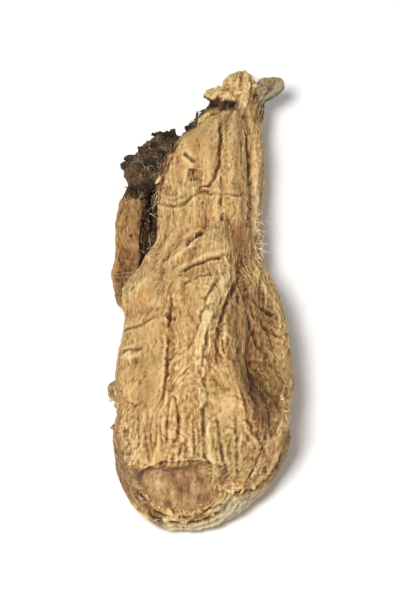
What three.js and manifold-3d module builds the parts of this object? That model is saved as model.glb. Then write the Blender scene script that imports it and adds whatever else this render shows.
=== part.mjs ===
// Dried ferula root: one shrivelled piece of taproot, sawn across at its swollen end, narrowing to a
// neck and torn off just above the crown, with one split side root still lying along the neck.
// Millimetres, +Z up. +Y runs along the root from the sawn end to the crown, and the origin is on the
// surface that the root lies on, under the middle of its bounding box.
import * as THREE from "three";
import { mergeVertices } from "three/addons/utils/BufferGeometryUtils.js";
import Module from "manifold-3d";

// Driving dimensions
const ROOT_LENGTH = 110; // sawn end to crown tip
const BODY_WIDTH = 36; // across the swollen half
const BODY_HEIGHT = 27; // from the surface to the top of the swollen half
const FLAT_DEPTH = 0.9; // how much of the underside is worn off to the flat that the root lies on
const SEED = 7;

// The taproot's outline. along is a share of ROOT_LENGTH from the sawn end. left and right are the
// edges seen from above, as shares of BODY_WIDTH. under and over are the lowest and highest points
// of the section, as shares of BODY_HEIGHT.
const OUTLINE = [
  { along: 0.0, left: -0.39, right: 0.2, under: 0.08, over: 0.8 },
  { along: 0.035, left: -0.46, right: 0.39, under: 0.0, over: 0.9 },
  { along: 0.1, left: -0.495, right: 0.47, under: -0.03, over: 0.98 },
  { along: 0.17, left: -0.475, right: 0.465, under: -0.03, over: 1.0 },
  { along: 0.25, left: -0.49, right: 0.5, under: -0.03, over: 1.0 },
  { along: 0.37, left: -0.46, right: 0.47, under: -0.03, over: 0.96 },
  { along: 0.46, left: -0.42, right: 0.41, under: 0.0, over: 0.88 },
  { along: 0.51, left: -0.35, right: 0.34, under: 0.03, over: 0.81 },
  { along: 0.56, left: -0.28, right: 0.33, under: 0.05, over: 0.76 },
  { along: 0.68, left: -0.26, right: 0.32, under: 0.02, over: 0.72 },
  { along: 0.77, left: -0.24, right: 0.34, under: -0.03, over: 0.67 },
  { along: 0.84, left: -0.15, right: 0.33, under: -0.03, over: 0.6 },
  { along: 0.89, left: -0.07, right: 0.35, under: 0.0, over: 0.55 },
  { along: 0.93, left: 0.0, right: 0.35, under: 0.05, over: 0.5 },
];
const SECTION_SQUARENESS = 2.3; // exponent of the section's superellipse, 2 for an ellipse

// Rows of faces along the taproot, and columns around it
const CUT_ROWS = 8;
const BODY_ROWS = 62;
const COLLAR_ROWS = 3;
const BODY_COLUMNS = 64;

// The sawn end. It bows out and leans back at the top. The wood has shrunk in behind a rim of bark, which
// is widest below and on the right.
const CUT_NOSE = -0.12; // the place across that stands out furthest, a share of BODY_WIDTH
const CUT_BOW = 16; // millimetres that the end falls back at one BODY_WIDTH from there
const CUT_LEAN = 0.22; // millimetres back for each millimetre up
const CUT_BLEND = 0.22; // share of ROOT_LENGTH over which the sawn end's slope runs out
const CUT_SUNK = 1.1; // how far the wood has shrunk in
const CUT_FACE = 0.72; // the wood's size, a share of the sawn end's
const CUT_FACE_SHIFT = { x: -6.5, z: 6 }; // millimetres from the middle of the end to the pith

// The torn collar round the crown knob
const COLLAR_DISH = 4; // how far the collar stands up round the knob
const COLLAR_SLANT = 0.5; // millimetres further up the root for each millimetre to the right

// Swellings and hollows of the upper side, seen from above. across is a share of BODY_WIDTH, along of
// ROOT_LENGTH, and height, wide and long are millimetres.
const LUMPS = [
  { name: "left shoulder lobe", across: -0.33, along: 0.43, height: 2.0, wide: 4.5, long: 6 },
  { name: "right flank hollow", across: 0.33, along: 0.27, height: -3.8, wide: 4.6, long: 11 },
  { name: "right lower lobe", across: 0.22, along: 0.06, height: 2.6, wide: 5, long: 9 },
  { name: "crest of the upper side", across: 0.04, along: 0.37, height: 1.5, wide: 3, long: 14 },
  { name: "left plane of the upper side", across: -0.3, along: 0.2, height: -1.2, wide: 5, long: 12 },
  { name: "neck lobe", across: -0.06, along: 0.77, height: 1.6, wide: 3.6, long: 8 },
  { name: "scar pit", across: -0.05, along: 0.695, height: -1.8, wide: 2, long: 2.4 },
  { name: "neck band", across: 0.06, along: 0.51, height: 1.4, wide: 6, long: 3 },
  { name: "waist below the band", across: -0.02, along: 0.45, height: -1.1, wide: 5, long: 3 },
];

// Furrows of the upper side, seen from above: each runs through points given as [across, along] shares
const FURROWS = [
  { depth: 0.7, halfWidth: 1.5, path: [[-0.2, 0.49], [-0.2, 0.41], [-0.195, 0.3], [-0.205, 0.17]] },
  { depth: 0.6, halfWidth: 1.6, path: [[-0.46, 0.38], [-0.32, 0.36], [-0.2, 0.35]] },
  { depth: 1.3, halfWidth: 2.1, path: [[0.32, 0.58], [0.195, 0.435], [0.11, 0.32], [0.08, 0.24]] },
  { depth: 0.6, halfWidth: 1.6, path: [[0.08, 0.24], [0.05, 0.18], [0.0, 0.065], [0.04, 0.02]] },
  { depth: 0.8, halfWidth: 1.6, path: [[0.38, 0.25], [0.385, 0.11], [0.35, 0.03]] },
  { depth: 0.8, halfWidth: 1.6, path: [[-0.38, 0.25], [-0.36, 0.14], [-0.3, 0.03]] },
  { depth: 0.6, halfWidth: 1.5, path: [[-0.21, 0.67], [-0.13, 0.64], [-0.02, 0.66], [0.23, 0.67]] },
  { depth: 0.6, halfWidth: 1.5, path: [[0.105, 0.83], [0.105, 0.735], [0.07, 0.685], [0.0, 0.66]] },
  { depth: 0.7, halfWidth: 1.6, path: [[-0.16, 0.515], [-0.07, 0.545], [0.0, 0.57], [0.11, 0.582]] },
  { depth: 0.6, halfWidth: 1.5, path: [[0.255, 0.84], [0.255, 0.65], [0.27, 0.6]] },
  { depth: 2.2, halfWidth: 1.6, path: [[-0.12, 0.85], [0.0, 0.88], [0.16, 0.885]] },
];

// Long ridges all round the root, left by drying: each set has its own count of ridges round the
// section, and wanders from side to side along the root.
const RIDGE_SETS = [
  { count: 5, depth: 1.1, sway: 0.9, swayLength: 74 },
  { count: 8, depth: 0.8, sway: 1.3, swayLength: 52 },
  { count: 15, depth: 0.5, sway: 1.7, swayLength: 38 },
];
const RIDGE_SHARPNESS = 0.7; // below 1 the furrows between ridges are narrow
const RIDGE_MEAN = 0.62; // the mean of a ridge's rise, taken off so that the ridges keep the outline
const RIDGE_SAWN = 0.35; // share of the ridges' rise that is left at the sawn face

// Pieces grown from the taproot. Each follows points [across, along, height], shares of BODY_WIDTH,
// ROOT_LENGTH and BODY_HEIGHT, with a radius in millimetres at each point. flatness is its thickness
// as a share of its width.
const OFFSHOOTS = [
  {
    name: "crown knob",
    points: [[0.14, 0.87, 0.24], [0.2, 0.925, 0.3], [0.22, 0.965, 0.35], [0.235, 0.995, 0.34]],
    radii: [4.2, 4.6, 3.6, 2.2],
    flatness: 0.9,
    ridges: 5,
  },
  {
    name: "leaf stalk stub",
    points: [[0.2, 0.91, 0.3], [0.33, 0.94, 0.38], [0.475, 0.962, 0.4]],
    radii: [3.0, 2.7, 2.0],
    flatness: 0.9,
    ridges: 4,
  },
  {
    name: "torn leaf base",
    points: [[0.18, 0.905, 0.36], [0.08, 0.92, 0.45], [0.0, 0.915, 0.49]],
    radii: [2.8, 2.4, 1.2],
    flatness: 0.5,
    ridges: 3,
  },
  {
    name: "peeled bark of the neck",
    points: [[0.0, 0.8, 0.36], [-0.2, 0.785, 0.36], [-0.33, 0.765, 0.34], [-0.44, 0.74, 0.29]],
    radii: [6.2, 6.4, 5.6, 4.0],
    flatness: 0.34,
    ridges: 5,
  },
  {
    name: "split side root",
    points: [[-0.34, 0.775, 0.29], [-0.4, 0.7, 0.26], [-0.42, 0.62, 0.22], [-0.44, 0.55, 0.17],
      [-0.45, 0.48, 0.12]],
    radii: [2.6, 3.2, 3.2, 3.0, 2.4],
    flatness: 0.75,
    ridges: 4,
  },
  {
    name: "torn bark between the side root and the neck",
    points: [[-0.2, 0.79, 0.22], [-0.27, 0.7, 0.15], [-0.28, 0.6, 0.12], [-0.32, 0.51, 0.11]],
    radii: [4.4, 4.8, 4.8, 4.4],
    flatness: 0.4,
    ridges: 4,
  },
  {
    name: "side root stump",
    points: [[-0.36, 0.25, 0.42], [-0.5, 0.262, 0.4], [-0.53, 0.266, 0.39]],
    radii: [2.6, 2.0, 1.4],
    flatness: 1,
    ridges: 4,
  },
];
const OFFSHOOT_ROWS = 12;
const OFFSHOOT_COLUMNS = 12;
const OFFSHOOT_RIDGE_DEPTH = 0.35; // millimetres
const OFFSHOOT_FRAY = 0.12; // how unevenly an offshoot is torn, as a share of its radius
const TIP_SQUARENESS = 0.45; // below 1 the ends of an offshoot are blunt

const BARK = new THREE.MeshStandardMaterial({ color: 0xb58a50, roughness: 0.9, metalness: 0 });

const wasm = await Module();
wasm.setup();

// A repeatable random number from 0 to 1.
function seededRandom(seed) {
  let state = seed;
  return () => {
    state = (state * 1664525 + 1013904223) % 4294967296;
    return state / 4294967296;
  };
}

function smoothStep(low, high, value) {
  return THREE.MathUtils.smoothstep(value, low, high);
}

function bell(distance, width) {
  return Math.exp(-((distance / width) ** 2));
}

// Plan distance from a point to a polyline, in millimetres.
function distanceToPath(x, y, path) {
  let nearest = Infinity;
  for (let i = 0; i + 1 < path.length; i++) {
    const [ax, ay] = path[i];
    const [bx, by] = path[i + 1];
    const run = (bx - ax) ** 2 + (by - ay) ** 2;
    const share = THREE.MathUtils.clamp(((x - ax) * (bx - ax) + (y - ay) * (by - ay)) / run, 0, 1);
    nearest = Math.min(nearest, Math.hypot(x - ax - share * (bx - ax), y - ay - share * (by - ay)));
  }
  return nearest;
}

const random = seededRandom(SEED);
const ridgeSets = RIDGE_SETS.map((set) => ({
  ...set,
  phase: random() * 2 * Math.PI,
  swayPhase: random() * 2 * Math.PI,
  fadePhase: random() * 2 * Math.PI,
}));
const furrows = FURROWS.map((furrow) => ({
  ...furrow,
  path: furrow.path.map(([across, along]) => [across * BODY_WIDTH, along * ROOT_LENGTH]),
}));
const outline = new THREE.CubicInterpolant(
  OUTLINE.map((station) => station.along * ROOT_LENGTH),
  OUTLINE.flatMap(({ left, right, under, over }) => [
    left * BODY_WIDTH,
    right * BODY_WIDTH,
    under * BODY_HEIGHT,
    over * BODY_HEIGHT,
  ]),
  4,
);

// Rise of the long drying ridges, in millimetres, at an angle round the section.
function ridgeRise(y, angle) {
  let rise = 0;
  for (const { count, depth, sway, swayLength, phase, swayPhase, fadePhase } of ridgeSets) {
    const turn = (2 * Math.PI * y) / swayLength;
    const wave = Math.abs(Math.sin((count * angle + phase + sway * Math.sin(turn + swayPhase)) / 2));
    const fade = 0.7 + 0.3 * Math.sin(0.6 * turn + fadePhase);
    rise += depth * fade * (wave ** RIDGE_SHARPNESS - RIDGE_MEAN);
  }
  return rise * (RIDGE_SAWN + (1 - RIDGE_SAWN) * smoothStep(0, 0.1, y / ROOT_LENGTH));
}

// Rise of the lumps and furrows of the upper side, in millimetres, seen from above.
function upperRise(x, y) {
  let rise = 0;
  for (const { across, along, height, wide, long } of LUMPS) {
    rise += height * bell(x - across * BODY_WIDTH, wide) * bell(y - along * ROOT_LENGTH, long);
  }
  for (const { depth, halfWidth, path } of furrows) {
    rise -= depth * bell(distanceToPath(x, y, path), halfWidth);
  }
  return rise;
}

// A point on the taproot. angle is 0 on top and a quarter turn on the right; share is 1 on the bark and
// less inside an end face; inset moves that face along the root, and shift moves it across.
function taprootPoint(y, angle, share = 1, inset = 0, shift = { x: 0, z: 0 }) {
  const [left, right, under, over] = outline.evaluate(y);
  const halfWidth = (right - left) / 2;
  const halfHeight = (over - under) / 2;
  const sine = Math.sin(angle);
  const cosine = Math.cos(angle);
  const power = SECTION_SQUARENESS;
  const sum = Math.abs(sine / halfWidth) ** power + Math.abs(cosine / halfHeight) ** power;
  const plain = sum ** (-1 / power);
  const middle = (left + right) / 2;
  const upper = smoothStep(-0.15, 0.35, cosine);
  const reach = share * (plain + ridgeRise(y, angle) + upper * upperRise(middle + plain * sine, y));
  const x = middle + shift.x * (1 - share) + reach * sine;
  const z = (under + over) / 2 + shift.z * (1 - share) + reach * cosine;
  const collar = COLLAR_SLANT * smoothStep(0.72, 0.92, y / ROOT_LENGTH) * reach * sine;
  const bow = CUT_BOW * (x / BODY_WIDTH - CUT_NOSE) ** 2 + CUT_LEAN * z;
  const cut = bow * (1 - smoothStep(0, CUT_BLEND, y / ROOT_LENGTH));
  return new THREE.Vector3(x, y + inset + collar + cut, z);
}

// Splits each four-sided patch of a sphere along the diagonal that lies nearer to the drawn surface, so
// that the edges follow the furrows.
function splitPatches({ index, attributes }, columns, rows, place) {
  const corner = (i) => new THREE.Vector3().fromBufferAttribute(attributes.position, i);
  const miss = (i, j, middle) => corner(i).lerp(corner(j), 0.5).distanceTo(middle);
  for (let patch = 0; patch < columns * (rows - 2); patch++) {
    const first = 3 * columns + 6 * patch;
    const [a, b, d] = [index.getX(first), index.getX(first + 1), index.getX(first + 2)];
    const c = index.getX(first + 4);
    const row = rows - 1.5 - Math.floor(patch / columns);
    const angle = (2 * Math.PI * ((patch % columns) + 0.5)) / columns - Math.PI / 2;
    const middle = place(row, angle);
    if (miss(a, c, middle) < miss(b, d, middle)) {
      [a, b, c, a, c, d].forEach((vertex, i) => index.setX(first + i, vertex));
    }
  }
}

// A closed surface made from a sphere with its poles on the Y axis: place gives the point for each row
// from the near pole and angle round the axis.
function drawnSphere(columns, rows, place) {
  const sphere = new THREE.SphereGeometry(1, columns, rows);
  sphere.deleteAttribute("normal");
  sphere.deleteAttribute("uv");
  const geometry = mergeVertices(sphere, 1e-4);
  const position = geometry.attributes.position;
  const point = new THREE.Vector3();
  for (let i = 0; i < position.count; i++) {
    point.fromBufferAttribute(position, i);
    const row = Math.round((rows * Math.acos(THREE.MathUtils.clamp(-point.y, -1, 1))) / Math.PI);
    const placed = place(row, Math.atan2(point.x, point.z));
    position.setXYZ(i, placed.x, placed.y, placed.z);
  }
  splitPatches(geometry, columns, rows, place);
  return geometry;
}

// The taproot: the sawn face, the bark and the torn collar, one closed surface.
function taproot() {
  const rows = CUT_ROWS + BODY_ROWS + COLLAR_ROWS;
  const bodyLength = OUTLINE.at(-1).along * ROOT_LENGTH;
  return drawnSphere(BODY_COLUMNS, rows, (row, angle) => {
    if (row <= CUT_ROWS) {
      const share = row / CUT_ROWS;
      const sunk = CUT_SUNK * (1 - smoothStep(CUT_FACE, 1, share));
      return taprootPoint(0, angle, share, sunk, CUT_FACE_SHIFT);
    }
    const bodyRow = Math.min(row - CUT_ROWS, BODY_ROWS);
    const share = Math.min((rows - row) / COLLAR_ROWS, 1);
    return taprootPoint((bodyLength * bodyRow) / BODY_ROWS, angle, share, -COLLAR_DISH * (1 - share ** 2));
  });
}

// An offshoot: a ridged tube along a smooth curve, with blunt closed ends.
function offshoot({ points, radii, flatness, ridges }) {
  const curve = new THREE.CatmullRomCurve3(
    points.map(([across, along, height]) =>
      new THREE.Vector3(across * BODY_WIDTH, along * ROOT_LENGTH, height * BODY_HEIGHT)),
  );
  const radiusAt = new THREE.CubicInterpolant(radii.map((_, i) => i / (radii.length - 1)), radii, 1);
  const up = new THREE.Vector3(0, 0, 1);
  return drawnSphere(OFFSHOOT_COLUMNS, OFFSHOOT_ROWS, (row, angle) => {
    const pole = (Math.PI * row) / OFFSHOOT_ROWS;
    const share = (1 - Math.cos(pole)) / 2;
    const tangent = curve.getTangent(share);
    const side = new THREE.Vector3().crossVectors(tangent, up).normalize();
    const rise = new THREE.Vector3().crossVectors(side, tangent);
    const ridge = OFFSHOOT_RIDGE_DEPTH * Math.cos(ridges * angle + 3 * share);
    const fray = 1 + OFFSHOOT_FRAY * Math.sin(2 * angle + 14 * share);
    const reach = (radiusAt.evaluate(share)[0] * fray + ridge) * Math.sin(pole) ** TIP_SQUARENESS;
    return curve.getPoint(share)
      .addScaledVector(side, reach * Math.sin(angle))
      .addScaledVector(rise, flatness * reach * Math.cos(angle));
  });
}

function solidOf(geometry) {
  return new wasm.Manifold(
    new wasm.Mesh({
      numProp: 3,
      vertProperties: new Float32Array(geometry.attributes.position.array),
      triVerts: new Uint32Array(geometry.index.array),
    }),
  );
}

function geometryOf(solid) {
  const mesh = solid.getMesh();
  return new THREE.BufferGeometry()
    .setAttribute("position", new THREE.BufferAttribute(new Float32Array(mesh.vertProperties), 3))
    .setIndex(new THREE.BufferAttribute(new Uint32Array(mesh.triVerts), 1));
}

// The flat that the root lies on: everything below the worn level is taken off.
function wornFlat(solid) {
  const block = new THREE.BoxGeometry(4 * BODY_WIDTH, 4 * ROOT_LENGTH, BODY_HEIGHT);
  block.deleteAttribute("normal");
  block.deleteAttribute("uv");
  const lowest = solid.boundingBox().min[2];
  block.translate(0, 0, lowest + FLAT_DEPTH - BODY_HEIGHT / 2);
  return solid.subtract(solidOf(mergeVertices(block)));
}

let fused = solidOf(taproot());
for (const growth of OFFSHOOTS) fused = fused.add(solidOf(offshoot(growth)));
const rootGeometry = geometryOf(wornFlat(fused));
rootGeometry.computeBoundingBox();
const box = rootGeometry.boundingBox;
rootGeometry.translate(-(box.min.x + box.max.x) / 2, -(box.min.y + box.max.y) / 2, -box.min.z);
rootGeometry.computeVertexNormals();

const root = new THREE.Mesh(rootGeometry, BARK);
root.name = "ferula_root";
const group = new THREE.Group();
group.add(root);

export default group;
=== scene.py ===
# Dried ferula root: fine wrinkles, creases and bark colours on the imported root, with torn fibres and scraps.
import math
import random
from collections import namedtuple

import bmesh
import bpy
import numpy as np
from mathutils import Matrix, Quaternion, Vector, noise
from mathutils.kdtree import KDTree


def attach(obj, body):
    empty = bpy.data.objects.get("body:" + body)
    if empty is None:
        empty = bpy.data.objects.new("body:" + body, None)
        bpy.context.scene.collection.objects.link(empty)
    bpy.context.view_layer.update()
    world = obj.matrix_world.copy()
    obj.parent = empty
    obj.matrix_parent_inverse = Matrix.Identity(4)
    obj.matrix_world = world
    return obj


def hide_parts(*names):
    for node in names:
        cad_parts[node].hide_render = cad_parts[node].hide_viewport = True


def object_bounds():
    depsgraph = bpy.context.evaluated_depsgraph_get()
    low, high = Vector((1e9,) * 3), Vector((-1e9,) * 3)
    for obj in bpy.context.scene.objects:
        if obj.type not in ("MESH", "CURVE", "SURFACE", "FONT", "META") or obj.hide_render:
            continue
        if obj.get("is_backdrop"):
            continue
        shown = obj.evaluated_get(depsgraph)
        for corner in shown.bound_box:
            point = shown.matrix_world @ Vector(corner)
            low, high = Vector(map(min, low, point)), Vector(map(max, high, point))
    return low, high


MM = 0.001
ROOT_NODE = "ferula_root"

# The rows of the tables below. Pixels are the photograph's, and other lengths are millimetres.
Wrinkles = namedtuple("Wrinkles", "across along height seed")
Crease = namedtuple("Crease", "name depth half_width pixels")
Area = namedtuple("Area", "name soft strength pixels below", defaults=(None,))
Lump = namedtuple("Lump", "name middle half strength")
TornEdge = namedtuple("TornEdge", "name count length lean pixels stand", defaults=(0.0,))

# The photograph's view. A place on the root is given by its pixel in the 400 by 600 photograph.
VIEW_ELEVATION = math.radians(56)
VIEW_RIGHT = np.array((1.0, 0.0, 0.0))
VIEW_UP = np.array((0.0, math.sin(VIEW_ELEVATION), math.cos(VIEW_ELEVATION)))
TOWARDS_CAMERA = np.array((0.0, -math.cos(VIEW_ELEVATION), math.sin(VIEW_ELEVATION)))
VIEW_TARGET = np.array((0.0, -5.0, 12.0))  # millimetres
PHOTO_MIDDLE = np.array((207.0, 286.0))  # the pixel that the target is at
PHOTO_PIXELS_PER_MM = 2.0
CAMERA_DISTANCE = 0.9
VIEW_HEIGHT = 0.1225
SENSOR = 36.0

# The bark's mesh
BARK_VOXEL = 0.25 * MM
BARK_SMOOTHING = 8
SMOOTHING_FACTOR = 0.5
MERGE_DISTANCE = 0.01 * MM
BARK_TRIANGLES = 190000
SHOWN_WEIGHT = 0.5  # how readily the bark loses triangles, against 1 for the underside
UNDERSIDE = -0.6  # the bark faces further down than this there

# The line that the fibres of the bark run round, as shares of the root's box: along, across and up. It
# dips under the sawn end, so that the fibres run down over that end.
FIBRE_LINE = np.array((
    (0.0, 0.5, -0.35), (0.06, 0.5, -0.1), (0.13, 0.51, 0.2), (0.25, 0.52, 0.44), (0.46, 0.51, 0.44),
    (0.56, 0.54, 0.41), (0.68, 0.545, 0.37), (0.77, 0.565, 0.33), (0.84, 0.6, 0.3), (0.93, 0.68, 0.28),
    (1.0, 0.72, 0.3)))
UNROLLED_RADIUS = 15.0  # millimetres: wrinkles have their stated width at this distance from the line

# Wrinkles left by drying, in millimetres: each is `across` wide, `along` long and `height` deep or high.
FOLDS = (
    Wrinkles(3.6, 24.0, 0.18, 3.1),
    Wrinkles(1.1, 3.4, 0.12, 23.9),
)
VEINS = (
    Wrinkles(2.4, 10.0, 0.26, 11.7),
    Wrinkles(1.1, 3.8, 0.2, 51.2),
    Wrinkles(0.6, 2.0, 0.1, 96.4),
)
FOLD_STEEPNESS = 2.4
FOLD_LEVEL = 0.55
VEIN_SHARPNESS = 4.0
VEIN_SHARE = 0.6  # how strong the veins are
VEIN_SPREAD = 1.1  # and how far that changes from patch to patch
VEIN_MOST = 1.3
VEIN_PATCHES = (7.0, 12.0, 57.1)  # grains of noise, here and below: across, along and seed
CRACKED_PATCHES = (5.0, 8.0, 19.4)
CRACKED_EDGE = (0.0, 0.25)
CRACKS = Wrinkles(2.0, 0.9, -0.1, 83.6)
SWAYS = (
    {"length": 14.0, "reach": 1.5, "seed": 40.3},
    {"length": 4.0, "reach": 0.8, "seed": 77.7},
    {"length": 1.6, "reach": 0.25, "seed": 29.5},
)
PLEATS = Wrinkles(1.5, 7.0, 0.45, 31.3)
PLEATS_PIXEL = (195, 339)
PLEATS_PIXELS_WIDE = (24, 20)
SPOT_EDGE = (0.3, 1.0)
NECK_RINGS = Wrinkles(7.0, 1.5, 0.1, 65.2)
NECK_START = 4.0  # millimetres along from the middle of the root
NECK_BLEND = 10.0
NECK_LEFT = -10.0  # millimetres across: the side root and the peeled bark lie left of this
SIDE_ROOT_BLEND = 3.0
SIDE_ROOT_START = -12.0  # millimetres along: the grain turns into that of the side root from here
SIDE_ROOT_FULL = 8.0  # to here
LAYER_STEP = 0.2  # thickness of a layer of bark that has flaked off
LAYER_ACROSS = 5.0
LAYER_ALONG = 11.0
LAYER_SEEDS = (7.7, 93.4)
LAYER_EDGE = (0.02, 0.08)
GRAIN_HEIGHT = 0.13
GRAIN_SIZE = 0.6
GRAIN_STRETCH = 1.6
GRAIN_SEED = 71.9
CLOSE_SPAN = 0.34  # millimetres of relief from the darkest furrow to the palest ridge, over a fine reach
WIDE_SPAN = 1.2  # and over a wide reach
CLOSE_ROUNDS = 5
WIDE_ROUNDS = 60

# Creases and raised lines of the upper side, each through pixels of the photograph. Depth and half
# width are millimetres, and a negative depth is a raised line.
CREASES = (
    Crease("long groove", 0.3, 0.3, ((194.6, 280), (195.4, 287), (194.6, 295), (194.2, 305), (193.6, 313),
        (193, 323), (192, 330))),
    Crease("knot above the long groove", 0.25, 0.35, ((193, 291.5), (195.5, 293), (197.5, 293.2))),
    Crease("upper left crease", 0.28, 0.32, ((174, 298.5), (180, 297.4), (184.4, 295.4), (190.8, 291.7))),
    Crease("lower left crease", 0.22, 0.3, ((173, 307.5), (178, 306.4), (184.4, 304.6))),
    Crease("lower left fold", -0.2, 0.4, ((175, 309.6), (180, 308.3), (185, 306.4))),
    Crease("arc on the left plane", 0.14, 0.3, ((177, 326), (181, 328), (185, 326.5))),
    Crease("rim of the left shoulder", -0.22, 0.6, ((178, 286), (183, 279.5), (189, 275.5), (193, 275))),
    Crease("edge of the dark flank", 0.36, 0.32, ((223, 276), (217.5, 287), (214.4, 296), (213.5, 304),
        (213.4, 312))),
    Crease("diagonal ridge", -0.34, 0.85, ((223, 265), (218, 277), (212, 287), (208.5, 296), (206.5, 306),
        (206, 314))),
    Crease("second diagonal ridge", -0.15, 0.4, ((222, 276), (216, 286), (211.5, 296), (210, 304))),
    Crease("line left of the diagonal ridge", 0.3, 0.32, ((215, 276), (209.5, 285), (208, 291.5),
        (206.6, 297))),
    Crease("line under the diagonal ridge", 0.25, 0.3, ((213.5, 290), (210.5, 298), (208.5, 306),
        (207.5, 314))),
    Crease("lens beside the dark flank", -0.45, 0.6, ((217.6, 296.5), (215.8, 302))),
    Crease("lower middle furrow", 0.22, 0.3, ((206.5, 312), (208, 317), (210.2, 323), (208.4, 329),
        (208.4, 342), (209, 348), (212, 354))),
    Crease("lower middle ridge", -0.3, 0.55, ((210, 328), (210.3, 340), (212, 349), (214.5, 357))),
    Crease("line right of the ridge", 0.28, 0.32, ((213.5, 330), (214.5, 341), (216.6, 350), (218, 357))),
    Crease("left line of the lobe", 0.22, 0.3, ((221, 325), (221.5, 342), (222, 357))),
    Crease("right line of the lobe", 0.22, 0.3, ((233, 338), (230, 348), (226, 358))),
    Crease("edge of the lobe under the flank", 0.3, 0.35, ((222, 317), (224.5, 326), (226.5, 336),
        (231, 343), (233.5, 350))),
    Crease("rim of the lobe", -0.3, 0.5, ((212, 359), (216.5, 360.4), (222, 360.6), (230, 358.5),
        (236, 351), (239, 343))),
    Crease("furrow under the rim of the lobe", 0.4, 0.4, ((216, 362.5), (222, 362.8), (231, 361),
        (238, 353), (240.6, 345))),
    Crease("first line of the fan", 0.32, 0.32, ((223.5, 279), (228, 286.5), (234, 291), (239.5, 293))),
    Crease("second line of the fan", 0.32, 0.32, ((224, 281), (228, 292), (234, 298), (241, 302.5))),
    Crease("third line of the fan", 0.3, 0.32, ((223.5, 281), (226, 294), (230, 304), (235, 311))),
    Crease("fourth line of the fan", 0.28, 0.32, ((222.6, 281), (221.5, 296), (223, 309))),
    Crease("pale edge of the flank", -0.2, 0.5, ((230, 278), (237, 286), (240.5, 295), (240, 304))),
    Crease("edge of the front plane", -0.25, 0.5, ((176.5, 334), (180, 342), (184.5, 351))),
    Crease("neck seam", 0.4, 0.32, ((215.7, 209), (215.4, 220.7), (214.9, 228.4), (213.9, 234),
        (210.8, 239), (205.2, 240.6))),
    Crease("left neck ring", 0.32, 0.32, ((207, 241.4), (203.6, 243), (200.5, 246), (196.5, 247.4),
        (190.5, 246.5))),
    Crease("lip of the left neck ring", -0.12, 0.32, ((190.5, 243.8), (196.5, 243.6), (202, 240.8),
        (207, 239.3))),
    Crease("right neck ring", 0.18, 0.28, ((206, 241.8), (215.4, 242.6), (219, 243), (228, 242.4))),
    Crease("lip of the right neck ring", -0.1, 0.32, ((206, 240), (215.4, 240.6), (228, 240.4))),
    Crease("scar", 0.75, 0.65, ((203.6, 231.5), (204.4, 237))),
    Crease("scar slash", 0.42, 0.42, ((200, 225), (205.2, 228.6))),
    Crease("lower neck seam", 0.3, 0.3, ((215.7, 243), (215.6, 254))),
    Crease("right neck strand", -0.35, 0.45, ((224.5, 198), (227.5, 208), (229, 218), (230, 230),
        (230, 245), (229, 258), (226.5, 266))),
    Crease("right neck seam", 0.35, 0.32, ((226, 213), (227, 228), (227.6, 242), (227, 254),
        (224.5, 264))),
    Crease("upper right neck slit", 0.25, 0.3, ((223, 214), (224.6, 222), (224.4, 231))),
    Crease("left edge of the neck", 0.5, 0.4, ((199.6, 216), (194.5, 227.3), (191.6, 235), (190, 244),
        (189.8, 258))),
    Crease("neck crack", 0.8, 0.5, ((201, 263.4), (204, 260.8), (209, 258))),
    Crease("neck crack lip", -0.36, 0.55, ((190.5, 274), (197, 269), (203, 263.6), (209, 259.6),
        (217, 257))),
    Crease("band arc", -0.22, 0.4, ((195, 276), (202, 270.8), (211.4, 267), (220, 266))),
    Crease("band furrow", 0.3, 0.32, ((197, 277.4), (203, 272.8), (211, 269.2), (219, 268.2))),
    Crease("lower band arc", 0.24, 0.3, ((200, 280), (206, 276.6), (213, 275.4))),
    Crease("collar crack", 0.9, 0.8, ((200, 212), (205.7, 207), (208.8, 203.9), (214.4, 202.3),
        (222, 204.4))),
    Crease("upper layer of the rim", 0.3, 0.26, ((182.5, 362), (186, 368), (192, 371.6), (200, 372.6),
        (208, 371.4), (214.5, 367))),
    Crease("lower layer of the rim", 0.4, 0.3, ((184, 368), (190, 373.4), (198, 375.2), (207, 374.4),
        (216, 369.6))),
)
LINE_WANDER = {"length": 2.2, "reach": 0.4, "seeds": (5.5, 88.1)}
CREASE_WANDER = {"length": 0.8, "reach": 0.16, "seeds": (26.2, 61.7)}
LINE_STRENGTH = 0.85
LINE_STRONGEST = 1.4
CREASE_BREAKS = 0.85  # how far a crease deepens and fades along its length
RIDGE_BREAKS = 0.35  # and how far a raised line does
LINE_BREAKS = (2.5, 2.5, 17.3)
FINE_BREAKS = (0.9, 0.9, 54.6)
FINE_BREAKS_SHARE = 0.6
LINE_FACING = (0.05, 0.35)  # lines fade out where the bark turns away from the camera
CREASE_ENDS = 0.15  # share of a crease's length over which it runs out at each end
CREASE_LIP = 0.3  # rise of the bark on both sides of a crease, as a share of its depth
CREASE_LIP_PLACE = 2.3  # how far out that is, in half widths
FULL_LINE = 0.5  # millimetres: a crease this deep takes its full painted shade
PALE_LINE = 0.36  # share of the painted highlight on a raised line

# The sawn face on the photograph, and the layers of bark round it, in millimetres
SAWN_PIXELS = (
    (180.5, 352.5), (186, 352.6), (197, 352.2), (208.5, 351.6), (209.5, 356.5), (213, 360), (213.5, 364),
    (208, 367.6), (199, 369), (190, 367.8), (184.5, 362.5))
SAWN_SOFT = 0.45
SAWN_MIDDLE = np.array((-4.4, 13.9))
SAWN_HALF = np.array((8.2, 7.4))
SAWN_LIMIT = 12.0
SOFT_EDGE = (
    (176, 357), (184, 357), (189, 363.5), (199, 365.5), (208, 364), (212, 358), (218, 360), (216, 370),
    (200, 378), (186, 374))
SOFT_EDGE_BLEND = 1.0
SOFT_EDGE_ROUNDS = 60
RIM_LAYER = 1.1
RIM_LAYER_HEIGHT = 0.08
RIM_TOP = (-0.2, 0.35)  # how far below the middle the layers start, in half sizes of the sawn face
RIM_INNER = (1.0, 1.1)
RIM_OUTER = (1.5, 1.8)
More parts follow.
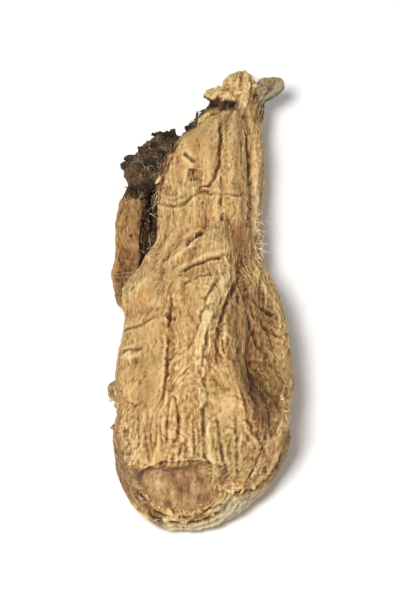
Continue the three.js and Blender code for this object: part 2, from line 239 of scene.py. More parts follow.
RIM_FARTHEST = 3
RIM_WANDER = 0.8
RIM_GRAIN = (3.0, 3.0, 62.3)
SAWN_SMOOTHNESS = 0.7  # share of the wrinkles that the sawn face loses
RIM_SMOOTHNESS = 0.6  # and that the layers round it lose

# Smoother areas of the bark: the outline of each in pixels, how soft its edge is in millimetres, and how
# much of the wrinkles it loses
SMOOTH_AREAS = (
    Area("upper plane of the neck", 1.2, 0.75, ((200, 213), (214, 210), (213.5, 231), (208, 239),
        (194, 242), (193, 230))),
    Area("neck", 2.0, 0.45, ((199, 212), (228, 206), (231, 262), (216, 268), (196, 282), (188, 270))),
    Area("left plane under the creases", 1.5, 0.65, ((175, 310), (192, 308), (191, 328), (177, 330))),
    Area("left plane over the creases", 1.2, 0.55, ((178, 285), (192, 279), (193, 303), (176, 305))),
    Area("left shoulder", 1.2, 0.6, ((177, 288), (183, 279), (193, 276), (192, 289), (180, 293))),
    Area("patch beside the long groove", 1.2, 0.5, ((198, 284), (209, 280), (206, 296), (198, 299))),
    Area("upper half of the lobe", 1.2, 0.5, ((213, 316), (221, 318), (226, 338), (214, 334))),
)

# Darker areas of the bark, given in the same way with the strength of the darkening. Some lie below a height.
# Some are the bark's own stains, and some are painted shade: the right flank and its heart, dark brown of
# their own and also painted shade, the side root with its inner side and the gap beside it, the peeled bark,
# the collar under the brim, the upper left edge of the neck, the hole in the stump, and the left end and upper
# edge of the sawn face.
SIDE_ROOT_TOP = 14.0
HEIGHT_BLEND = 4.0
NECK_PATCH = ((219.5, 254), (219.5, 273), (224, 273), (225.5, 255))
DARK_AREAS = (
    Area("right flank", 0.8, 0.5, ((223, 274), (219, 284), (217.8, 294), (217.6, 304), (218.4, 312),
        (222, 317), (224.5, 326), (227, 336), (231, 341), (236.5, 340), (240.5, 332), (241, 320),
        (236, 309), (238, 298), (236.5, 290), (230, 280))),
    Area("heart of the flank", 1.5, 0.8, ((224, 315), (226, 330), (231, 337), (236, 334), (237, 323),
        (231, 314))),
    Area("lower right edge", 0.8, 0.55, ((240.5, 338), (239, 348), (233, 359.5), (236, 362), (244, 352),
        (247, 338))),
    Area("lower left edge", 0.9, 0.6, ((174, 334), (177.5, 345), (180.5, 356), (185, 366), (180, 368),
        (170, 352), (166, 336))),
    Area("inner side of the side root", 0.7, 0.62, ((178, 241), (177.5, 262), (184, 266), (185.5, 243)),
        SIDE_ROOT_TOP),
    Area("side root", 1.0, 0.46, ((170, 240), (168, 270), (184, 270), (186, 240)), SIDE_ROOT_TOP),
    Area("lower half of the side root", 1.2, 0.74, ((173, 264), (171, 276), (168, 289), (177, 289),
        (182, 280), (186, 264)), SIDE_ROOT_TOP),
    Area("gap beside the side root", 0.5, 1.0, ((183, 240), (182, 262), (179.5, 281), (186, 283),
        (189, 270), (190, 252), (189.6, 240)), SIDE_ROOT_TOP),
    Area("side root stump", 0.8, 0.5, ((166, 316), (174.5, 316), (175, 334), (166, 338))),
    Area("hole in the stump", 0.5, 0.9, ((172, 326.5), (174.6, 326.5), (174.6, 330), (172, 330))),
    Area("peeled bark", 0.6, 0.97, ((172, 221), (173, 244), (189, 245), (191, 236), (194, 226.5),
        (199.5, 214), (194, 208), (184, 213))),
    Area("collar", 0.4, 0.9, ((197, 218), (204, 211), (209, 207.8), (216, 206.6), (224, 207.2),
        (223, 202.6), (214, 201.6), (207, 200.6), (200, 207), (194, 213))),
    Area("stalk stub", 0.7, 0.58, ((229.5, 196), (229, 211), (236, 212), (244, 205), (244, 193),
        (234, 193))),
    Area("bark under the crown", 1.2, 0.3, ((213, 205), (216, 214), (226, 216), (226, 206))),
    Area("red patch of the neck", 1.0, 0.4, NECK_PATCH),
    Area("upper left edge of the neck", 0.6, 0.92, ((187, 226), (192.5, 219.5), (196.8, 213.4),
        (203.5, 206), (201, 202), (189, 212), (182, 222))),
    Area("pleats", 2.0, 0.14, ((178, 330), (207, 328), (208, 350), (182, 351))),
    Area("lobe", 1.5, 0.16, ((211, 330), (226, 330), (234, 346), (226, 359), (213, 358))),
    Area("left end of the sawn face", 0.6, 0.75, ((179.5, 351.5), (179.5, 357.5), (184, 359.5),
        (186, 352.5))),
    Area("upper edge of the sawn face", 0.3, 0.75, ((186, 352), (197, 351.6), (208.5, 351),
        (208.5, 352.6), (197, 353.2), (186, 353.6))),
    Area("frayed end of the rim", 0.6, 0.7, ((184, 367), (188, 376), (193, 378), (193, 371))),
    Area("dark line of the rim", 0.3, 0.7, ((198, 373.4), (204, 372), (211, 370.6), (211, 372),
        (204, 374), (198, 375))),
    Area("dark marks under the lobe", 0.4, 0.7, ((218, 361), (220.5, 363.6), (224.5, 363.4),
        (222, 360.8))),
)
AREA_WANDER = 0.7  # millimetres that the edges of these areas stray
AREA_GRAIN = (1.3, 2.6)
AREA_FINE_GRAIN = (0.5, 0.9)
AREA_SEEDS = (12.6, 48.8)
FINE_SEED_STEP = 7
FINE_SHARE = 0.5
AREA_FACING = (-0.5, -0.1)  # areas fade out where the bark turns well away from the camera
LUMP_WANDER = 1.8
LUMP_GRAIN = (2.4, 3.5, 33.8)
LUMP_FINE_GRAIN = (0.9, 1.4, 15.2)
LUMP_EDGE = (0.8, 1.2)

# Pieces that are dark all round, with painted shade on the peeled bark and the stalk stub's own darker colour:
# the middle and half sizes of each in millimetres, and its strength
DARK_LUMPS = (
    Lump("peeled bark", (-13.0, 28.5, 8.5), (5.6, 6.5, 6.0), 0.95),
    Lump("stalk stub", (15.5, 49.5, 10.5), (5.0, 5.0, 5.0), 0.58),
)

# Redder areas, given in the same way
RED_AREAS = (
    Area("left shoulder", 1.2, 0.5, ((180, 285), (183, 281.6), (187.5, 281), (187, 287), (181.5, 289.5))),
    Area("furrow between the pleats", 0.9, 0.45, ((187.6, 337), (190.4, 337), (190.8, 348), (188, 348))),
    Area("red patch of the neck", 1.0, 0.8, NECK_PATCH),
    Area("right flank", 1.5, 0.4, ((223, 274), (218, 294), (218, 312), (224.5, 326), (231, 341),
        (240.5, 332), (238, 298), (230, 280))),
    Area("side root", 1.2, 0.55, ((170, 240), (168, 290), (180, 290), (186, 240)), SIDE_ROOT_TOP),
    Area("rim of the lobe", 0.6, 0.5, ((216, 359.6), (220, 362), (228, 361), (227, 358.4), (221, 358.8))),
    Area("left edge of the neck", 0.7, 0.6, ((195, 222), (190, 232), (188.6, 246), (191.6, 246),
        (193, 233), (197.6, 224))),
)

# Greyer areas, given in the same way
GREY_AREAS = (
    Area("stalk stub", 0.8, 0.65, ((231, 194), (231, 206), (238, 206), (244, 203), (244, 193))),
    Area("bark under the lobe", 1.0, 0.7, ((212, 366), (222, 364), (232, 362), (239, 355), (246, 358),
        (240, 372), (214, 376))),
    Area("rim under the sawn face", 0.8, 0.6, ((188, 374), (200, 376), (214, 373), (214, 382),
        (190, 382))),
    Area("peeled bark", 0.6, 0.8, ((173, 222), (174, 231), (182, 230), (184, 222))),
    Area("right strand of the neck", 0.8, 0.12, ((226, 232), (226, 262), (233, 262), (233, 232))),
)

# Torn fibres: each tuft grows along a path of pixels. Lengths are millimetres, and lean is right and up
# on the photograph.
TUFTS = (
    TornEdge("collar", 10, (0.8, 1.8), (-0.8, 0.5), ((199, 212), (206, 206), (213, 202))),
    TornEdge("peeled bark", 8, (1.5, 3.0), (-0.3, 0.1), ((178, 228), (184, 231), (187, 236))),
    TornEdge("gap beside the side root", 14, (1.5, 3.5), (-0.4, -0.6), ((188, 240), (187, 250),
        (186, 268))),
    TornEdge("stalk stub", 8, (0.6, 1.6), (0.5, -0.8), ((231, 206), (236, 205), (240, 202))),
    TornEdge("left end of the rim", 30, (1.4, 3.0), (1.2, -0.5), ((182, 364), (186, 370), (191, 374))),
    TornEdge("rim under the sawn face", 16, (0.8, 1.8), (1.2, -0.1), ((193, 374), (203, 373),
        (213, 368))),
    TornEdge("rim of the lobe", 40, (0.7, 1.6), (0.1, -1.0), ((212, 358), (217, 360), (226, 360),
        (236, 352))),
    TornEdge("edge under the lobe", 22, (0.8, 1.8), (0.5, -0.8), ((226, 367), (234, 361), (240, 350))),
)
WHITE_TUFTS = (
    TornEdge("right edge of the neck", 34, (1.2, 3.0), (0.3, -1.0), ((231, 252), (232, 260),
        (231.6, 268))),
    TornEdge("peeled bark", 5, (2.5, 4.0), (0.6, 0.5), ((180, 234), (184, 232), (187, 229))),
    TornEdge("gap beside the side root", 6, (2.5, 4.0), (0.0, -1.0), ((187.5, 240), (187, 250))),
)
TUFT_SPREAD = 0.7  # millimetres that a fibre's foot strays from its path
LEAN_SPREAD = 0.4
LYING_FIBRES = 800
LYING_LENGTH = (1.8, 6.5)
LYING_LIFT = 0.02
LYING_TURN = 0.25  # radians that a lying fibre strays from the grain
LYING_STEEP = 0.75  # past this slope towards an end, fibres run up and down
FIBRE_THICKNESS = (0.05, 0.12)
WHITE_FIBRE_THICKNESS = (0.08, 0.16)
FIBRE_TAPER = 0.8
FIBRE_SIDES = 4
FIBRE_STEPS = 6
FIBRE_SUNK = 0.2
FIBRE_CURL = 2.0  # radians over its length
FIBRE_LOWEST = 0.15  # millimetres above the surface that the root lies on
SEEN_REACH = 0.7  # millimetres: how near to a pixel a place is looked for
SAWN_BARE = 0.5  # loose fibres lie where less than this share is sawn wood
SEED = 4

# Scraps of bark at the torn edges, given as the tufts are. Stand is how far they stand off the bark, from 0
# for flat on it.
# The dark scraps are near-black partly as painted shade: the neck's left wall, the peeled bark and the gap
# beside the side root lie in shadow.
DARK_SCRAPS = (
    TornEdge("upper left edge of the neck", 110, (1.8, 3.2), (-0.7, -0.2), ((203, 208), (198.5, 212.5),
        (192.5, 220), (189, 227)), 0.12),
    TornEdge("peeled bark", 50, (1.6, 3.6), (-0.5, -0.5), ((177, 228), (184, 222), (188, 231),
        (180, 239)), 0.1),
    TornEdge("gap beside the side root", 18, (1.4, 3.0), (-0.4, -0.6), ((186.5, 244), (186, 254),
        (185, 262)), 0.1),
    TornEdge("stalk stub", 6, (0.8, 1.6), (0.6, 0.2), ((231, 205), (235, 206), (240, 203)), 0.0),
    TornEdge("left end of the brim", 6, (0.6, 1.1), (-0.8, -0.2), ((206, 203.5), (209, 203.5)), 0.0),
)
PALE_SCRAPS = (
    TornEdge("rim of the lobe", 50, (0.8, 2.0), (0.1, -0.8), ((213, 359), (218, 360.4), (226, 360),
        (236, 351)), 0.1),
    TornEdge("rim under the sawn face", 14, (1.0, 2.4), (0.6, -0.2), ((184, 366), (192, 374), (204, 373),
        (214, 368)), 0.1),
    TornEdge("side root stump", 16, (0.8, 1.6), (-0.3, -0.6), ((168.5, 319), (170, 326), (172, 335)),
        0.0),
    TornEdge("left edge of the body", 30, (1.0, 2.4), (0.0, -0.8), ((173, 322), (174, 334), (178, 352)),
        0.1),
    TornEdge("left edge of the neck", 16, (1.2, 3.0), (0.0, -0.8), ((192, 226), (190, 240), (189.6, 256)),
        0.0),
    TornEdge("right edge of the flank", 14, (1.0, 2.2), (0.1, -0.8), ((238, 312), (240, 320), (240, 334)),
        0.1),
    TornEdge("crown knob", 16, (0.8, 1.8), (-0.2, -0.5), ((214, 200), (219, 195), (226, 197)), 0.0),
)
SCRAP_LEAN_SPREAD = 0.45
SCRAP_WIDTH = (0.5, 0.9)  # as a share of its length
SCRAP_NARROWING = 0.35
SCRAP_CURL = (-0.1, 0.14)
SCRAP_CUP = -0.6
SCRAP_TEAR = 0.06  # how unevenly its edges are torn, as a share of its length
SCRAP_TEAR_LIFT = 0.5  # share of that off its plane
SCRAP_CELLS = (2, 3)
HALF_GRID = 0.5
SCRAP_THICKNESS = 0.14
SCRAP_SUNK = 0.12

# Colours of the bark, its stains and painted shade, the sawn wood, the fibres and the scraps
# On the bark, the browns darken furrows and crevices as painted shade and the straw pales ridges as painted
# highlight, over the bark's own tan
CREVICE_BROWN = (0.035, 0.014, 0.006, 1)
FURROW_BROWN = (0.17, 0.077, 0.027, 1)
BARK_TAN = (0.4, 0.23, 0.092, 1)
RIDGE_TAN = (0.58, 0.38, 0.165, 1)
RIDGE_STRAW = (0.78, 0.6, 0.32, 1)
STAIN_AND_SHADE_DARK = (0.01, 0.006, 0.004, 1)
STAIN_AND_SHADE_BROWN = (0.038, 0.018, 0.008, 1)
STAIN_AND_SHADE_TAN = (0.135, 0.066, 0.027, 1)
PATCH_RED = (1.0, 0.87, 0.74, 1)
PATCH_STRAW = (1.0, 0.97, 0.9, 1)
PATCH_OLIVE = (0.8, 0.82, 0.68, 1)
FLECK_BROWN = (0.5, 0.38, 0.27, 1)
NO_FLECK = (1.0, 1.0, 1.0, 1)
SAWN_DARK = (0.1, 0.045, 0.017, 1)
SAWN_BROWN = (0.31, 0.162, 0.065, 1)
SAWN_TAN = (0.46, 0.275, 0.122, 1)
SAWN_PALE = (0.64, 0.44, 0.22, 1)
RED_TINT = (0.95, 0.7, 0.53, 1)
GREY_TINT = (0.84, 0.92, 0.86, 1)
GREY_SATURATION = 0.55
CREASE_SHADE_BROWN = (0.085, 0.036, 0.013, 1)
FIBRE_DARK = (0.16, 0.08, 0.032, 1)
FIBRE_TAN = (0.5, 0.31, 0.13, 1)
FIBRE_PALE = (0.78, 0.64, 0.42, 1)
FIBRE_WHITE = (0.85, 0.8, 0.7, 1)
# near-black of the dark scraps, partly painted shade
SCRAP_BLACK = (0.022, 0.013, 0.007, 1)
SCRAP_BROWN = (0.062, 0.036, 0.018, 1)
SCRAP_OLIVE = (0.19, 0.14, 0.078, 1)

# Where the colours lie on the shades of each finish, from 0 to 1
BARK_STOPS = (
    (0.24, CREVICE_BROWN), (0.36, FURROW_BROWN), (0.46, BARK_TAN), (0.54, RIDGE_TAN), (0.66, RIDGE_STRAW))
PATCH_STOPS = ((0.34, PATCH_RED), (0.5, PATCH_STRAW), (0.66, PATCH_OLIVE))
FLECK_STOPS = ((0.33, FLECK_BROWN), (0.42, NO_FLECK))
STAIN_AND_SHADE_STOPS = ((0.3, STAIN_AND_SHADE_DARK), (0.45, STAIN_AND_SHADE_BROWN), (0.62, STAIN_AND_SHADE_TAN))
SAWN_STOPS = ((0.38, SAWN_DARK), (0.48, SAWN_BROWN), (0.55, SAWN_TAN), (0.64, SAWN_PALE))
FIBRE_STOPS = ((0.38, FIBRE_DARK), (0.5, FIBRE_TAN), (0.6, FIBRE_PALE))
WHITE_FIBRE_STOPS = ((0.3, FIBRE_TAN), (0.45, FIBRE_PALE), (0.6, FIBRE_WHITE))
DARK_SCRAP_STOPS = ((0.4, SCRAP_BLACK), (0.52, SCRAP_BROWN), (0.64, SCRAP_OLIVE))
PALE_SCRAP_STOPS = ((0.4, FURROW_BROWN), (0.5, RIDGE_TAN), (0.62, RIDGE_STRAW))

# Grains of the finishes, and how much of the second of two grains is mixed in
FIBRE_NOISE = {"scale": 1500, "stretch": (1, 0.12, 1), "detail": 5, "roughness": 0.7}
FLECK_NOISE = {"scale": 1100, "stretch": (1, 0.45, 1), "detail": 3}
STROKE_NOISE = {"scale": 2400, "stretch": (1, 0.3, 1), "detail": 2}
PATCH_NOISE = {"scale": 110, "stretch": (1, 0.6, 1), "detail": 6, "roughness": 0.7}
BLOTCH_NOISE = {"scale": 420, "stretch": (1, 0.6, 1), "detail": 6, "roughness": 0.75}
SAWN_NOISE = {"scale": 520, "stretch": (1, 1, 0.28), "detail": 5, "roughness": 0.75}
LOOSE_FIBRE_NOISE = ({"scale": 260, "detail": 3}, {"scale": 2500})
SCRAP_NOISE = ({"scale": 400, "detail": 3}, {"scale": 2200})
WIDE_RELIEF_SHARE = 0.45
STROKE_SHARE = 0.5
GRAIN_SHARE = 0.25
BLOTCH_SHARE = 0.2
SAWN_BLOTCH_SHARE = 0.25
BUMP_BLOTCH_SHARE = 0.5
FINE_FIBRE_SHARE = 0.35
FINE_SCRAP_SHARE = 0.4
BARK_ROUGHNESS = (0.7, 0.95)
TORN_ROUGHNESS = (0.75, 0.95)
DULL_SPECULAR = 0.25
BUMP_STRENGTH = 0.5
BARK_BUMP = 0.18 * MM
SCRAP_BUMP = 0.1 * MM

# The sockets of a mix of two colours
FIRST_COLOUR = 6
SECOND_COLOUR = 7
MIXED_COLOUR = 2

# The studio, in metres and watts
FLOOR_WHITE = (0.9, 0.9, 0.9, 1)
FLOOR_ROUGHNESS = 0.9
FLOOR_HALF = 3
FLOOR_DROP = 0.05 * MM
STUDIO_WHITE = (1, 1, 1, 1)
STUDIO_STRENGTH = 0.4
KEY_PLACE = (-0.22, -0.44, 0.97)
KEY_SIZE = 0.26
KEY_POWER = 11


def smooth_step(low, high, values):
    share = np.clip((values - low) / (high - low), 0, 1)
    return share * share * (3 - 2 * share)


def noise_field(points, across, along, seed):
    """Smooth noise from -1 to 1 at each point, with grains `across` wide and `along` long."""
    scaled = points / np.array((across, along, across)) + seed
    return np.array([noise.noise(place) for place in scaled.tolist()])


def on_photo(points):
    """Places of points in the photograph's plane, in millimetres right and up from its middle."""
    return (points - VIEW_TARGET) @ np.column_stack((VIEW_RIGHT, VIEW_UP))


def photo_place(pixel):
    """A photograph's pixel in the same plane."""
    right, down = (np.array(pixel) - PHOTO_MIDDLE) / PHOTO_PIXELS_PER_MM
    return np.array((right, -down))


def distance_to_path(places, path):
    """Distance of each place from a path, and how far along the path the nearest point is, from 0 to 1."""
    nearest = np.full(len(places), np.inf)
    along = np.zeros(len(places))
    lengths = [np.linalg.norm(end - start) for start, end in zip(path[:-1], path[1:])]
    done = 0.0
    for start, end, length in zip(path[:-1], path[1:], lengths):
        run = (end - start) / length
        reach = np.clip((places - start) @ run, 0, length)
        distance = np.linalg.norm(places - start - reach[:, None] * run, axis=1)
        closer = distance < nearest
        nearest[closer] = distance[closer]
        along[closer] = (done + reach[closer]) / sum(lengths)
        done += length
    return nearest, along


def averaged(values, edges, rounds):
    """Values of each vertex after it is blended with its neighbours a number of times."""
    first, second = edges.T
    neighbours = np.bincount(edges.ravel(), minlength=len(values))
    for _ in range(rounds):
        columns = []
        for column in values.T:
            total = np.bincount(first, column[second], len(values))
            total += np.bincount(second, column[first], len(values))
            columns.append((column + total) / (1 + neighbours))
        values = np.column_stack(columns)
    return values


def vertex_values(mesh, name, size):
    values = np.empty(len(mesh.vertices) * size)
    mesh.vertices.foreach_get(name, values)
    return values.reshape(-1, size)


def surface_of(mesh):
    """The places of a mesh in millimetres, and its normals."""
    return vertex_values(mesh, "co", 3) / MM, vertex_values(mesh, "normal", 3)


def edge_ends(mesh):
    ends = np.empty(len(mesh.edges) * 2, dtype=np.int32)
    mesh.edges.foreach_get("vertices", ends)
    return ends.reshape(-1, 2)


def store_values(mesh, name, values):
    attribute = mesh.attributes.new(name, "FLOAT", "POINT")
    attribute.data.foreach_set("value", values.astype(np.float32))


def store_places(mesh, name, places):
    attribute = mesh.attributes.new(name, "FLOAT_VECTOR", "POINT")
    attribute.data.foreach_set("vector", places.astype(np.float32).ravel())


def unrolled(points):
    """The same places on a straight cylinder round the fibre line, where wrinkles run true."""
    low, high = (np.array(corner) / MM for corner in cad_box)
    along, across, up = FIBRE_LINE.T
    share = (points[:, 1] - low[1]) / (high[1] - low[1])
    right = points[:, 0] - low[0] - np.interp(share, along, across) * (high[0] - low[0])
    rise = points[:, 2] - low[2] - np.interp(share, along, up) * (high[2] - low[2])
    angle = np.arctan2(right, rise)
    reach = points @ VIEW_UP
    straight = np.column_stack((points[:, 0], reach, points[:, 2]))
    rolled = np.column_stack((UNROLLED_RADIUS * np.sin(angle), reach, UNROLLED_RADIUS * np.cos(angle)))
    return rolled + beside_neck(points)[:, None] * (straight - rolled)


def beside_neck(points):
    """Where the grain is that of the side root and the peeled bark, 0 to 1."""
    left = smooth_step(0, SIDE_ROOT_BLEND, NECK_LEFT - points[:, 0])
    return left * smooth_step(SIDE_ROOT_START, SIDE_ROOT_FULL, points[:, 1])


def swayed(places):
    """Unrolled places moved a little from side to side, so that wrinkles wander."""
    moved = places.copy()
    for sway in SWAYS:
        drift = sway["reach"] * noise_field(places, sway["length"], sway["length"], sway["seed"])
        moved += np.column_stack((drift, np.zeros(len(places)), drift))
    return moved


def fold_rise(places, folds):
    """Rise of one set of folds: round backs with sharp valleys between."""
    fold = np.abs(noise_field(places, folds.across, folds.along, folds.seed))
    return folds.height * (np.minimum(FOLD_STEEPNESS * fold, 1) - FOLD_LEVEL)


def vein_rise(places, veins):
    """Rise of one set of thin lines that stand up from the bark, or are cut into it."""
    line = 1 - VEIN_SHARPNESS * np.abs(noise_field(places, veins.across, veins.along, veins.seed))
    return veins.height * np.maximum(line, 0) ** 2


def photo_spot(points, pixel, half):
    """A round spot on the photograph: 1 at its middle and 0 at its edge, over the given half sizes."""
    places = (on_photo(points) - photo_place(pixel)) * PHOTO_PIXELS_PER_MM / np.array(half)
    return 1 - smooth_step(*SPOT_EDGE, np.linalg.norm(places, axis=1))


def wrinkle_rise(points, fibre_places):
    """Rise of the folds, veins, cracks, pleats, neck rings, flaked layers and grain."""
    rise = sum(fold_rise(fibre_places, folds) for folds in FOLDS)
    presence = np.clip(VEIN_SHARE + VEIN_SPREAD * noise_field(points, *VEIN_PATCHES), 0, VEIN_MOST)
    rise += presence * sum(vein_rise(fibre_places, veins) for veins in VEINS)
    cracked = smooth_step(*CRACKED_EDGE, noise_field(points, *CRACKED_PATCHES))
    rise += cracked * vein_rise(fibre_places, CRACKS)
    upright = np.column_stack((points[:, 0], points @ VIEW_UP, np.zeros(len(points))))
    rise += photo_spot(points, PLEATS_PIXEL, PLEATS_PIXELS_WIDE) * fold_rise(upright, PLEATS)
    neck = smooth_step(NECK_START, NECK_START + NECK_BLEND, points[:, 1]) * (1 - beside_neck(points))
    rise += neck * fold_rise(fibre_places, NECK_RINGS)
    for seed in LAYER_SEEDS:
        layer = noise_field(fibre_places, LAYER_ACROSS, LAYER_ALONG, seed)
        rise += LAYER_STEP * (smooth_step(*LAYER_EDGE, layer) - 0.5)
    return rise + GRAIN_HEIGHT * noise_field(points, GRAIN_SIZE, GRAIN_STRETCH * GRAIN_SIZE, GRAIN_SEED)


def wandering(points, wander):
    """How far drawn lines stray at each place, right and up on the photograph."""
    stray = [noise_field(points, wander["length"], wander["length"], seed) for seed in wander["seeds"]]
    return wander["reach"] * np.column_stack(stray)


def crease_marks(points, facing):
    """Rise of the creases and raised lines that the photograph shows, and their painted shade and painted
    highlight: dark in the creases, pale on the raised lines.
    """
    ridge_places = on_photo(points) + wandering(points, LINE_WANDER)
    crease_places = ridge_places + wandering(points, CREASE_WANDER)
    breaks = noise_field(points, *LINE_BREAKS)
    ridge_strength = np.clip(LINE_STRENGTH + RIDGE_BREAKS * breaks, 0, LINE_STRONGEST)
    breaks += FINE_BREAKS_SHARE * noise_field(points, *FINE_BREAKS)
    crease_strength = np.clip(LINE_STRENGTH + CREASE_BREAKS * breaks, 0, LINE_STRONGEST)
    seen = smooth_step(*LINE_FACING, facing)
    rise, dark, pale = np.zeros((3, len(points)))
    for crease in CREASES:
        sunk = crease.depth > 0
        path = [photo_place(pixel) for pixel in crease.pixels]
        distance, along = distance_to_path(crease_places if sunk else ridge_places, path)
        ends = smooth_step(0, CREASE_ENDS, along) * smooth_step(0, CREASE_ENDS, 1 - along)
        ends *= seen * (crease_strength if sunk else ridge_strength)
        reach = distance / crease.half_width
        line = ends * np.exp(-(reach ** 2))
        rise -= crease.depth * line
        colour = line * min(abs(crease.depth) / FULL_LINE, 1)
        if sunk:
            rise += crease.depth * CREASE_LIP * ends * np.exp(-((reach - CREASE_LIP_PLACE) ** 2))
            dark = np.maximum(dark, colour)
        else:
            pale = np.maximum(pale, PALE_LINE * colour)
    return rise, np.clip(dark, 0, 1), np.clip(pale, 0, 1)


def area_share(places, pixels, softness):
    """How far each place is inside an outline: 1 well inside, 0 outside, across a soft edge."""
    path = [photo_place(pixel) for pixel in pixels]
    path.append(path[0])
    distance, _ = distance_to_path(places, path)
    across, up = places.T
    inside = np.zeros(len(places), dtype=bool)
    for (start_across, start_up), (end_across, end_up) in zip(path[:-1], path[1:]):
        if start_up == end_up:
            continue
        passes = (start_up > up) != (end_up > up)
        edge = start_across + (up - start_up) * (end_across - start_across) / (end_up - start_up)
        inside ^= passes & (across < edge)
    return smooth_step(-softness, softness, np.where(inside, distance, -distance))


def strayed(points):
    """Places of points in the photograph's plane, moved a little so that edges run ragged."""
    stray = []
    for seed in AREA_SEEDS:
        fine = noise_field(points, *AREA_FINE_GRAIN, seed + FINE_SEED_STEP)
        stray.append(noise_field(points, *AREA_GRAIN, seed) + FINE_SHARE * fine)
    return on_photo(points) + AREA_WANDER * np.column_stack(stray)


def near_sawn_end(points):
    return points[:, 1] < points[:, 1].min() + SAWN_LIMIT


def sawn_share(points):
    """Where the wood of the sawn end shows, 0 to 1."""
    return area_share(strayed(points), SAWN_PIXELS, SAWN_SOFT) * near_sawn_end(points)


def sawn_reach(points):
    """How far each place is from the middle of the sawn end, in half sizes of the face."""
    reach = np.linalg.norm((points[:, (0, 2)] - SAWN_MIDDLE) / SAWN_HALF, axis=1)
    return np.where(near_sawn_end(points), reach, np.inf)


def rim_share(points):
    """Where the layers of bark show edge on, round the lower half of the sawn face, 0 to 1."""
    reach = sawn_reach(points)
    below = smooth_step(*RIM_TOP, (SAWN_MIDDLE[1] - points[:, 2]) / SAWN_HALF[1])
    return smooth_step(*RIM_INNER, reach) * (1 - smooth_step(*RIM_OUTER, reach)) * below


def rim_rise(points):
    """Rise of those layers."""
    out = (np.minimum(sawn_reach(points), RIM_FARTHEST) - 1) * SAWN_HALF.mean()
    out += RIM_WANDER * noise_field(points, *RIM_GRAIN)
    return RIM_LAYER_HEIGHT * np.sin(2 * math.pi * out / RIM_LAYER)


def marked_share(points, facing, areas):
    """How strongly each place is marked by a list of areas, 0 to 1, with ragged edges."""
    places = strayed(points)
    share = np.zeros(len(points))
    for area in areas:
        mark = area.strength * area_share(places, area.pixels, area.soft)
        if area.below is not None:
            mark *= 1 - smooth_step(area.below - HEIGHT_BLEND, area.below, points[:, 2])
        share = np.maximum(share, mark)
    return share * smooth_step(*AREA_FACING, facing)


def lump_share(points, lumps):
    """How strongly each place is marked as part of some lumps, 0 to 1."""
    fine = noise_field(points, *LUMP_FINE_GRAIN)
    stray = LUMP_WANDER * (noise_field(points, *LUMP_GRAIN) + FINE_SHARE * fine)
    share = np.zeros(len(points))
    for lump in lumps:
        half = np.array(lump.half)
        reach = np.linalg.norm((points - lump.middle) / half, axis=1) + stray / half.mean()
        share = np.maximum(share, lump.strength * (1 - smooth_step(*LUMP_EDGE, reach)))
    return share


def bark_mesh():
    """The root's own solid, remeshed finely and rounded."""
    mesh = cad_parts[ROOT_NODE].data.copy()
    mesh.materials.clear()
    sculpt = bmesh.new()
    sculpt.from_mesh(mesh)
    bmesh.ops.remove_doubles(sculpt, verts=sculpt.verts, dist=MERGE_DISTANCE)
    sculpt.to_mesh(mesh)
    sculpt.free()
    coarse = bpy.data.objects.new("coarse_bark", mesh)
    bpy.context.scene.collection.objects.link(coarse)
    remesh = coarse.modifiers.new("fine mesh", "REMESH")
    remesh.mode = "VOXEL"
    remesh.voxel_size = BARK_VOXEL
    evaluated = coarse.evaluated_get(bpy.context.evaluated_depsgraph_get())
    fine = bpy.data.meshes.new_from_object(evaluated)
    bpy.data.objects.remove(coarse)
    sculpt = bmesh.new()
    sculpt.from_mesh(fine)
    for _ in range(BARK_SMOOTHING):
        bmesh.ops.smooth_vert(sculpt, verts=sculpt.verts, factor=SMOOTHING_FACTOR, use_axis_x=True,
                              use_axis_y=True, use_axis_z=True)
    sculpt.to_mesh(fine)
    sculpt.free()
    soften_sawn_edge(fine)
    return fine


def soften_sawn_edge(mesh):
    """Rounds off the lower edge of the sawn face, where the wood runs out into the bark."""
    points = vertex_values(mesh, "co", 3) / MM
    share = area_share(on_photo(points), SOFT_EDGE, SOFT_EDGE_BLEND) * near_sawn_end(points)
    softened = averaged(points, edge_ends(mesh), SOFT_EDGE_ROUNDS)
    points += share[:, None] * (softened - points)
    mesh.vertices.foreach_set("co", (points * MM).ravel())
    mesh.update()


def relief_share(points, edges, normals, rounds, span):
    """How far each place stands out from the bark around it, as a share of a span: 0.5 is level. The bark's
    colour follows it as painted shade in hollows and painted highlight on ridges.
    """
    level = averaged(points, edges, rounds)
    return np.clip(0.5 + ((points - level) * normals).sum(axis=1) / span, 0, 1)


def thinned(mesh, shown):
    """The mesh with fewer triangles where the bark is flat, and fewest where it isn't shown."""
    full = bpy.data.objects.new("full_bark", mesh)
    bpy.context.scene.collection.objects.link(full)
    readiness = full.vertex_groups.new(name="readiness")
    readiness.add(np.flatnonzero(~shown).tolist(), 1.0, "REPLACE")
    readiness.add(np.flatnonzero(shown).tolist(), SHOWN_WEIGHT, "REPLACE")
    thin = full.modifiers.new("thin out", "DECIMATE")
    thin.ratio = BARK_TRIANGLES / sum(len(face.vertices) - 2 for face in mesh.polygons)
    thin.vertex_group = readiness.name
    graph = bpy.context.evaluated_depsgraph_get()
    fewer = bpy.data.meshes.new_from_object(full.evaluated_get(graph), preserve_all_data_layers=True,
                                            depsgraph=graph)
    bpy.data.objects.remove(full)
    return fewer


